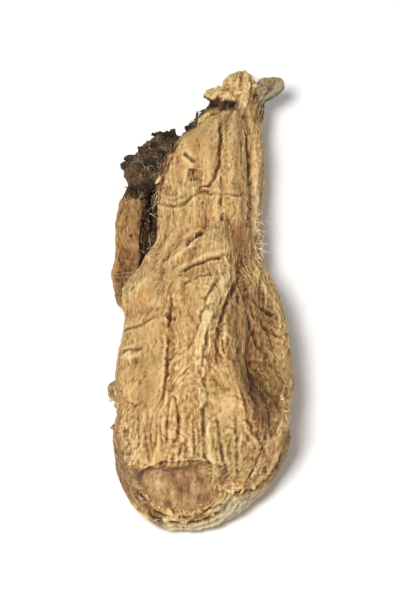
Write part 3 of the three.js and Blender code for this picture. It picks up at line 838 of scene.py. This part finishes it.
def make_bark():
    """The root's bark with its relief, and the values at each place that its material reads."""
    mesh = bark_mesh()
    points, normals = surface_of(mesh)
    facing = normals @ TOWARDS_CAMERA
    sawn = sawn_share(points)
    fibre_places = swayed(unrolled(points))
    creases, crease_shades, ridge_highlights = crease_marks(points, facing)
    rim = rim_share(points) * (1 - sawn)
    smooth = np.maximum(marked_share(points, facing, SMOOTH_AREAS), SAWN_SMOOTHNESS * sawn)
    smooth = np.maximum(smooth, RIM_SMOOTHNESS * rim)
    rise = wrinkle_rise(points, fibre_places) * (1 - smooth)
    rise += creases * (1 - sawn) + rim_rise(points) * rim
    points += rise[:, None] * normals
    points[:, 2] = np.maximum(points[:, 2], 0)
    mesh.vertices.foreach_set("co", (points * MM).ravel())
    mesh.update()
    normals = vertex_values(mesh, "normal", 3)
    edges = edge_ends(mesh)
    # the relief sets painted shade in the hollows and painted highlight on the ridges of the bark's colour
    store_values(mesh, "close_relief", relief_share(points, edges, normals, CLOSE_ROUNDS, CLOSE_SPAN))
    store_values(mesh, "wide_relief", relief_share(points, edges, normals, WIDE_ROUNDS, WIDE_SPAN))
    store_values(mesh, "crease_shade", crease_shades * (1 - sawn))
    store_values(mesh, "ridge_highlight", ridge_highlights * (1 - sawn))
    store_values(mesh, "sawn", sawn)
    # the bark's own stains together with painted shade in the gap, under the brim, on the peeled bark and on
    # the flank
    darkened = np.maximum(marked_share(points, facing, DARK_AREAS), lump_share(points, DARK_LUMPS))
    store_values(mesh, "darkened", darkened)
    store_values(mesh, "reddened", marked_share(points, facing, RED_AREAS))
    store_values(mesh, "greyed", marked_share(points, facing, GREY_AREAS))
    store_places(mesh, "fibre_place", fibre_places * MM)
    return finish_piece("bark", thinned(mesh, normals[:, 2] > UNDERSIDE), bark_material())


def finish_piece(name, mesh, material):
    """An object for a finished mesh, which rides with the root and takes the given finish."""
    mesh.polygons.foreach_set("use_smooth", np.ones(len(mesh.polygons), dtype=bool))
    mesh.materials.append(material)
    piece = bpy.data.objects.new(name, mesh)
    bpy.context.scene.collection.objects.link(piece)
    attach(piece, "root")
    return piece


def joined(name, shapes):
    """One mesh from several small shapes."""
    mesh = bpy.data.meshes.new(name)
    together = bmesh.new()
    for shape in shapes:
        shape.to_mesh(mesh)
        shape.free()
        together.from_mesh(mesh)
    together.to_mesh(mesh)
    together.free()
    return mesh


def fibre(places, thickness):
    """One tapered fibre along a list of places in millimetres."""
    places = [Vector(place) * MM for place in places]
    shape = bmesh.new()
    heading = (places[1] - places[0]).to_track_quat("Z", "Y").to_matrix().to_4x4()
    bmesh.ops.create_circle(shape, cap_ends=True, segments=FIBRE_SIDES, radius=thickness * MM,
                            matrix=Matrix.Translation(places[0]) @ heading)
    tip = shape.faces[:]
    for before, place in zip(places[:-1], places[1:]):
        grown = bmesh.ops.extrude_face_region(shape, geom=tip)["geom"]
        tip = [item for item in grown if isinstance(item, bmesh.types.BMFace)]
        corners = [item for item in grown if isinstance(item, bmesh.types.BMVert)]
        bmesh.ops.translate(shape, verts=corners, vec=place - before)
        bmesh.ops.scale(shape, verts=corners, vec=[FIBRE_TAPER] * 3, space=Matrix.Translation(-place))
    bmesh.ops.recalc_face_normals(shape, faces=shape.faces[:])
    return shape


def seen_vertex(places, points, facing, place):
    """The vertex that the photograph shows at a place: of those near it, the one nearest the camera."""
    miss = np.linalg.norm(places - place, axis=1)
    near = np.flatnonzero((miss < SEEN_REACH) & (facing > 0))
    if len(near) == 0:
        return np.argmin(miss)
    return near[np.argmax(points[near] @ TOWARDS_CAMERA)]


def along_path(path, share):
    """The place at a share of the length of a path."""
    lengths = [np.linalg.norm(end - start) for start, end in zip(path[:-1], path[1:])]
    left = share * sum(lengths)
    for start, end, length in zip(path[:-1], path[1:], lengths):
        if left <= length:
            return start + (end - start) * left / length
        left -= length
    return path[-1]


def standing_path(foot, normal, lean, length, draw):
    """Places along a fibre that leaves the bark at its foot, leans one way and curls."""
    stray = Vector([draw.gauss(0, LEAN_SPREAD) for _ in range(3)])
    heading = (normal + lean + stray).normalized()
    turn = Quaternion([draw.gauss(0, 1) for _ in range(3)], FIBRE_CURL / FIBRE_STEPS)
    places = [foot - FIBRE_SUNK * normal]
    for _ in range(FIBRE_STEPS):
        places.append(places[-1] + heading * length / FIBRE_STEPS)
        heading.rotate(turn)
    return clear_of_floor(places)


def clear_of_floor(places):
    return [Vector((place.x, place.y, max(place.z, FIBRE_LOWEST))) for place in places]


def feet_along(points, normals, row, draw):
    """The foot of each fibre or scrap in a row: its place, the bark's normal, its lean and its length."""
    facing = normals @ TOWARDS_CAMERA
    places = on_photo(points)
    path = [photo_place(pixel) for pixel in row.pixels]
    right, up = row.lean
    lean = Vector(right * VIEW_RIGHT + up * VIEW_UP)
    for _ in range(row.count):
        stray = np.array((draw.gauss(0, TUFT_SPREAD), draw.gauss(0, TUFT_SPREAD)))
        vertex = seen_vertex(places, points, facing, along_path(path, draw.random()) + stray)
        yield Vector(points[vertex]), Vector(normals[vertex]), lean, draw.uniform(*row.length)


def tuft_fibres(points, normals, tufts, thickness, draw):
    """The torn fibres of some tufts."""
    shapes = []
    for tuft in tufts:
        for foot, normal, lean, length in feet_along(points, normals, tuft, draw):
            route = standing_path(foot, normal, lean, length, draw)
            shapes.append(fibre(route, draw.uniform(*thickness)))
    return shapes


def scrap(foot, normal, lean, length, stand, draw):
    """One torn scrap of bark, held at its foot and curled up towards its tip."""
    stray = Vector([draw.gauss(0, SCRAP_LEAN_SPREAD) for _ in range(3)])
    across = (lean + stray).cross(normal).normalized()
    heading = (normal.cross(across) + stand * normal).normalized()
    width = length * draw.uniform(*SCRAP_WIDTH)
    curl = draw.uniform(*SCRAP_CURL) * length
    shape = bmesh.new()
    across_cells, along_cells = SCRAP_CELLS
    bmesh.ops.create_grid(shape, x_segments=across_cells, y_segments=along_cells, size=HALF_GRID)
    for corner in shape.verts:
        side, run = corner.co.x, corner.co.y + HALF_GRID
        tear = [draw.gauss(0, SCRAP_TEAR) * length for _ in range(3)]
        corner.co.x = side * width * (1 - SCRAP_NARROWING * run) + tear[0]
        corner.co.y = run * length + tear[1]
        corner.co.z = curl * run * run + SCRAP_CUP * width * side * side + SCRAP_TEAR_LIFT * tear[2]
    bmesh.ops.solidify(shape, geom=shape.faces[:], thickness=SCRAP_THICKNESS)
    bmesh.ops.recalc_face_normals(shape, faces=shape.faces[:])
    turn = Matrix((across, heading, across.cross(heading))).transposed().to_4x4()
    place = Matrix.Translation((foot - SCRAP_SUNK * normal) * MM) @ turn @ Matrix.Scale(MM, 4)
    bmesh.ops.transform(shape, matrix=place, verts=shape.verts)
    for corner in shape.verts:
        corner.co.z = max(corner.co.z, 0)
    return shape


def make_scraps(bark, name, rows, material):
    """Torn scraps of bark along some edges of the root."""
    points, normals = surface_of(bark.data)
    draw = random.Random(SEED)
    shapes = []
    for row in rows:
        for foot, normal, lean, length in feet_along(points, normals, row, draw):
            shapes.append(scrap(foot, normal, lean, length, row.stand, draw))
    finish_piece(name, joined(name, shapes), material)


def lying_fibres(points, normals, draw):
    """Fibres that lie loose along the bark, on every side of the root."""
    surface = KDTree(len(points))
    for vertex, point in enumerate(points.tolist()):
        surface.insert(point, vertex)
    surface.balance()
    bare = np.flatnonzero(sawn_share(points) < SAWN_BARE)
    shapes = []
    for _ in range(LYING_FIBRES):
        vertex = bare[draw.randrange(len(bare))]
        place, normal = Vector(points[vertex]), Vector(normals[vertex])
        grain = Vector((0, 0, 1)) if abs(normal.y) > LYING_STEEP else Vector((0, 1, 0))
        heading = (grain - normal * grain.dot(normal)).normalized()
        heading.rotate(Quaternion(normal, draw.gauss(0, LYING_TURN)))
        step = draw.uniform(*LYING_LENGTH) / FIBRE_STEPS
        route = [place - FIBRE_SUNK * normal]
        for _ in range(FIBRE_STEPS):
            near, vertex, _ = surface.find(route[-1] + heading * step)
            route.append(near + LYING_LIFT * Vector(normals[vertex]))
        shapes.append(fibre(clear_of_floor(route), draw.uniform(*FIBRE_THICKNESS)))
    return shapes


def make_fibres(bark):
    """Torn fibres at the broken edges, and fibres that lie loose along the bark."""
    points, normals = surface_of(bark.data)
    draw = random.Random(SEED)
    shapes = tuft_fibres(points, normals, TUFTS, FIBRE_THICKNESS, draw) + lying_fibres(points, normals, draw)
    finish_piece("torn_fibres", joined("torn_fibres", shapes), fibre_material("fibres", FIBRE_STOPS))
    shapes = tuft_fibres(points, normals, WHITE_TUFTS, WHITE_FIBRE_THICKNESS, draw)
    white = fibre_material("white fibres", WHITE_FIBRE_STOPS)
    finish_piece("white_fibres", joined("white_fibres", shapes), white)


def add_node(tree, kind, **settings):
    node = tree.nodes.new(kind)
    for name, value in settings.items():
        setattr(node, name, value)
    return node


def set_ramp(node, stops):
    ramp = node.color_ramp
    while len(ramp.elements) < len(stops):
        ramp.elements.new(0.5)
    for element, (place, colour) in zip(ramp.elements, stops):
        element.position = place
        element.color = colour


def new_material(name):
    material = bpy.data.materials.new(name)
    material.use_nodes = True
    tree = material.node_tree
    return material, tree, tree.nodes["Principled BSDF"]


def attribute_share(tree, name):
    return add_node(tree, "ShaderNodeAttribute", attribute_name=name).outputs["Fac"]


def noise_share(tree, place, scale, stretch=(1, 1, 1), detail=4, roughness=0.6):
    """Noise from about 0 to 1 with `scale` grains a metre, stretched along the root."""
    mapping = add_node(tree, "ShaderNodeMapping")
    mapping.inputs["Scale"].default_value = stretch
    tree.links.new(place, mapping.inputs["Vector"])
    grains = add_node(tree, "ShaderNodeTexNoise")
    grains.inputs["Scale"].default_value = scale
    grains.inputs["Detail"].default_value = detail
    grains.inputs["Roughness"].default_value = roughness
    tree.links.new(mapping.outputs["Vector"], grains.inputs["Vector"])
    return grains.outputs["Fac"]


def mix_shares(tree, factor, first, second):
    mix = add_node(tree, "ShaderNodeMix")
    mix.inputs["Factor"].default_value = factor
    tree.links.new(first, mix.inputs["A"])
    tree.links.new(second, mix.inputs["B"])
    return mix.outputs["Result"]


def mix_colours(tree, factor, first, second, blend="MIX"):
    mix = add_node(tree, "ShaderNodeMix", data_type="RGBA", blend_type=blend)
    if isinstance(factor, float):
        mix.inputs["Factor"].default_value = factor
    else:
        tree.links.new(factor, mix.inputs["Factor"])
    tree.links.new(first, mix.inputs[FIRST_COLOUR])
    tree.links.new(second, mix.inputs[SECOND_COLOUR])
    return mix.outputs[MIXED_COLOUR]


def ramp_colour(tree, share, stops):
    ramp = add_node(tree, "ShaderNodeValToRGB")
    set_ramp(ramp, stops)
    tree.links.new(share, ramp.inputs["Fac"])
    return ramp.outputs["Color"]


def set_range(tree, share, low, high):
    span = add_node(tree, "ShaderNodeMapRange")
    span.inputs["To Min"].default_value = low
    span.inputs["To Max"].default_value = high
    tree.links.new(share, span.inputs["Value"])
    return span.outputs["Result"]


def set_bump(tree, shader, height, strength, distance):
    bump = add_node(tree, "ShaderNodeBump")
    bump.inputs["Strength"].default_value = strength
    bump.inputs["Distance"].default_value = distance
    tree.links.new(height, bump.inputs["Height"])
    tree.links.new(bump.outputs["Normal"], shader.inputs["Normal"])


def greyed_colour(tree, colour, share):
    grey = add_node(tree, "ShaderNodeHueSaturation")
    grey.inputs["Saturation"].default_value = GREY_SATURATION
    tree.links.new(colour, grey.inputs["Color"])
    tint = mix_colours(tree, 1.0, grey.outputs["Color"], plain_colour(tree, GREY_TINT), "MULTIPLY")
    return mix_colours(tree, share, colour, tint)


def plain_colour(tree, colour):
    plain = add_node(tree, "ShaderNodeRGB")
    plain.outputs["Color"].default_value = colour
    return plain.outputs["Color"]


def torn_shade(tree, grains, fine_share):
    """The shades of torn fibres or scraps, from a coarse and a fine grain."""
    place = add_node(tree, "ShaderNodeTexCoord").outputs["Object"]
    coarse, fine = (noise_share(tree, place, **grain) for grain in grains)
    return mix_shares(tree, fine_share, coarse, fine)


def finish_torn(tree, shader, shade, stops):
    """The colours and the dull finish of torn fibres or scraps."""
    tree.links.new(ramp_colour(tree, shade, stops), shader.inputs["Base Color"])
    tree.links.new(set_range(tree, shade, *TORN_ROUGHNESS), shader.inputs["Roughness"])
    shader.inputs["Specular IOR Level"].default_value = DULL_SPECULAR


def fibre_material(name, stops):
    material, tree, shader = new_material(name)
    finish_torn(tree, shader, torn_shade(tree, LOOSE_FIBRE_NOISE, FINE_FIBRE_SHARE), stops)
    return material


def scrap_material(name, stops):
    material, tree, shader = new_material(name)
    shade = torn_shade(tree, SCRAP_NOISE, FINE_SCRAP_SHARE)
    finish_torn(tree, shader, shade, stops)
    set_bump(tree, shader, shade, BUMP_STRENGTH, SCRAP_BUMP)
    return material


def bark_material():
    material, tree, shader = new_material("bark")
    place = add_node(tree, "ShaderNodeTexCoord").outputs["Object"]
    fibre_place = add_node(tree, "ShaderNodeAttribute", attribute_name="fibre_place").outputs["Vector"]
    fibres = noise_share(tree, fibre_place, **FIBRE_NOISE)
    flecks = noise_share(tree, fibre_place, **FLECK_NOISE)
    strokes = noise_share(tree, fibre_place, **STROKE_NOISE)
    patches = noise_share(tree, place, **PATCH_NOISE)
    blotches = noise_share(tree, place, **BLOTCH_NOISE)
    close_relief = attribute_share(tree, "close_relief")
    relief = mix_shares(tree, WIDE_RELIEF_SHARE, close_relief, attribute_share(tree, "wide_relief"))
    relief = mix_shares(tree, GRAIN_SHARE, relief, mix_shares(tree, STROKE_SHARE, fibres, strokes))
    relief = mix_shares(tree, BLOTCH_SHARE, relief, blotches)
    # the relief picks the colour: painted shade in the furrows, painted highlight on the ridges
    bark = ramp_colour(tree, relief, BARK_STOPS)
    bark = mix_colours(tree, 1.0, bark, ramp_colour(tree, patches, PATCH_STOPS), "MULTIPLY")
    bark = mix_colours(tree, 1.0, bark, ramp_colour(tree, flecks, FLECK_STOPS), "MULTIPLY")
    # painted highlight along the raised lines and painted shade along the creases
    bark = mix_colours(tree, attribute_share(tree, "ridge_highlight"), bark, plain_colour(tree, RIDGE_STRAW))
    bark = mix_colours(tree, attribute_share(tree, "crease_shade"), bark, plain_colour(tree, CREASE_SHADE_BROWN))
    grain = mix_shares(tree, SAWN_BLOTCH_SHARE, noise_share(tree, place, **SAWN_NOISE), blotches)
    wood = ramp_colour(tree, grain, SAWN_STOPS)
    colour = mix_colours(tree, attribute_share(tree, "sawn"), bark, wood)
    # stains and painted shade share these dark stops
    stain_and_shade_colour = ramp_colour(tree, relief, STAIN_AND_SHADE_STOPS)
    colour = mix_colours(tree, attribute_share(tree, "darkened"), colour, stain_and_shade_colour)
    red = plain_colour(tree, RED_TINT)
    colour = mix_colours(tree, attribute_share(tree, "reddened"), colour, red, "MULTIPLY")
    colour = greyed_colour(tree, colour, attribute_share(tree, "greyed"))
    tree.links.new(colour, shader.inputs["Base Color"])
    tree.links.new(set_range(tree, blotches, *BARK_ROUGHNESS), shader.inputs["Roughness"])
    shader.inputs["Specular IOR Level"].default_value = DULL_SPECULAR
    roughened = mix_shares(tree, BUMP_BLOTCH_SHARE, fibres, blotches)
    set_bump(tree, shader, roughened, BUMP_STRENGTH, BARK_BUMP)
    return material


def make_floor():
    sheet = bmesh.new()
    bmesh.ops.create_grid(sheet, x_segments=1, y_segments=1, size=FLOOR_HALF)
    bmesh.ops.translate(sheet, verts=sheet.verts, vec=(0, 0, -FLOOR_DROP))
    mesh = bpy.data.meshes.new("floor")
    sheet.to_mesh(mesh)
    sheet.free()
    floor = bpy.data.objects.new("floor", mesh)
    bpy.context.scene.collection.objects.link(floor)
    material, _, shader = new_material("floor")
    shader.inputs["Base Color"].default_value = FLOOR_WHITE
    shader.inputs["Roughness"].default_value = FLOOR_ROUGHNESS
    mesh.materials.append(material)
    floor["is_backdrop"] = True


def aim(thing, place, target):
    thing.location = place
    thing.rotation_euler = (Vector(target) - Vector(place)).to_track_quat("-Z", "Y").to_euler()


def add_light(name, place, size, power):
    light = bpy.data.lights.new(name, "AREA")
    light.size = size
    light.energy = power
    lamp = bpy.data.objects.new(name, light)
    bpy.context.scene.collection.objects.link(lamp)
    aim(lamp, place, VIEW_TARGET * MM)


def light_studio():
    world = bpy.data.worlds.new("studio")
    world.use_nodes = True
    background = world.node_tree.nodes["Background"]
    background.inputs["Color"].default_value = STUDIO_WHITE
    background.inputs["Strength"].default_value = STUDIO_STRENGTH
    bpy.context.scene.world = world
    add_light("key", KEY_PLACE, KEY_SIZE, KEY_POWER)
    bpy.context.scene.view_settings.view_transform = "Standard"


def place_camera():
    camera = bpy.data.objects.new("camera", bpy.data.cameras.new("camera"))
    bpy.context.scene.collection.objects.link(camera)
    target = VIEW_TARGET * MM
    aim(camera, target + CAMERA_DISTANCE * TOWARDS_CAMERA, target)
    camera.data.sensor_width = SENSOR
    camera.data.lens = SENSOR * CAMERA_DISTANCE / VIEW_HEIGHT
    bpy.context.scene.camera = camera


def write_sizes(solid_box):
    boxes = {"cad": solid_box, "visual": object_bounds()}
    plain = {name: [list(corner) for corner in box] for name, box in boxes.items()}


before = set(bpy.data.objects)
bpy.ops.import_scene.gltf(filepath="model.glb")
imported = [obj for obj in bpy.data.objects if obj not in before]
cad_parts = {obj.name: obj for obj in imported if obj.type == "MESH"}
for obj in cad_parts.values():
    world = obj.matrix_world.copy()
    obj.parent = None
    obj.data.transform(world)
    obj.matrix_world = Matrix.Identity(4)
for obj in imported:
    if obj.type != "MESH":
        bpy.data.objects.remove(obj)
cad_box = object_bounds()
bark = make_bark()
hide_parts(ROOT_NODE)
make_fibres(bark)
make_scraps(bark, "dark_scraps", DARK_SCRAPS, scrap_material("dark scraps", DARK_SCRAP_STOPS))
make_scraps(bark, "pale_scraps", PALE_SCRAPS, scrap_material("pale scraps", PALE_SCRAP_STOPS))
make_floor()
light_studio()
place_camera()
write_sizes(cad_box)
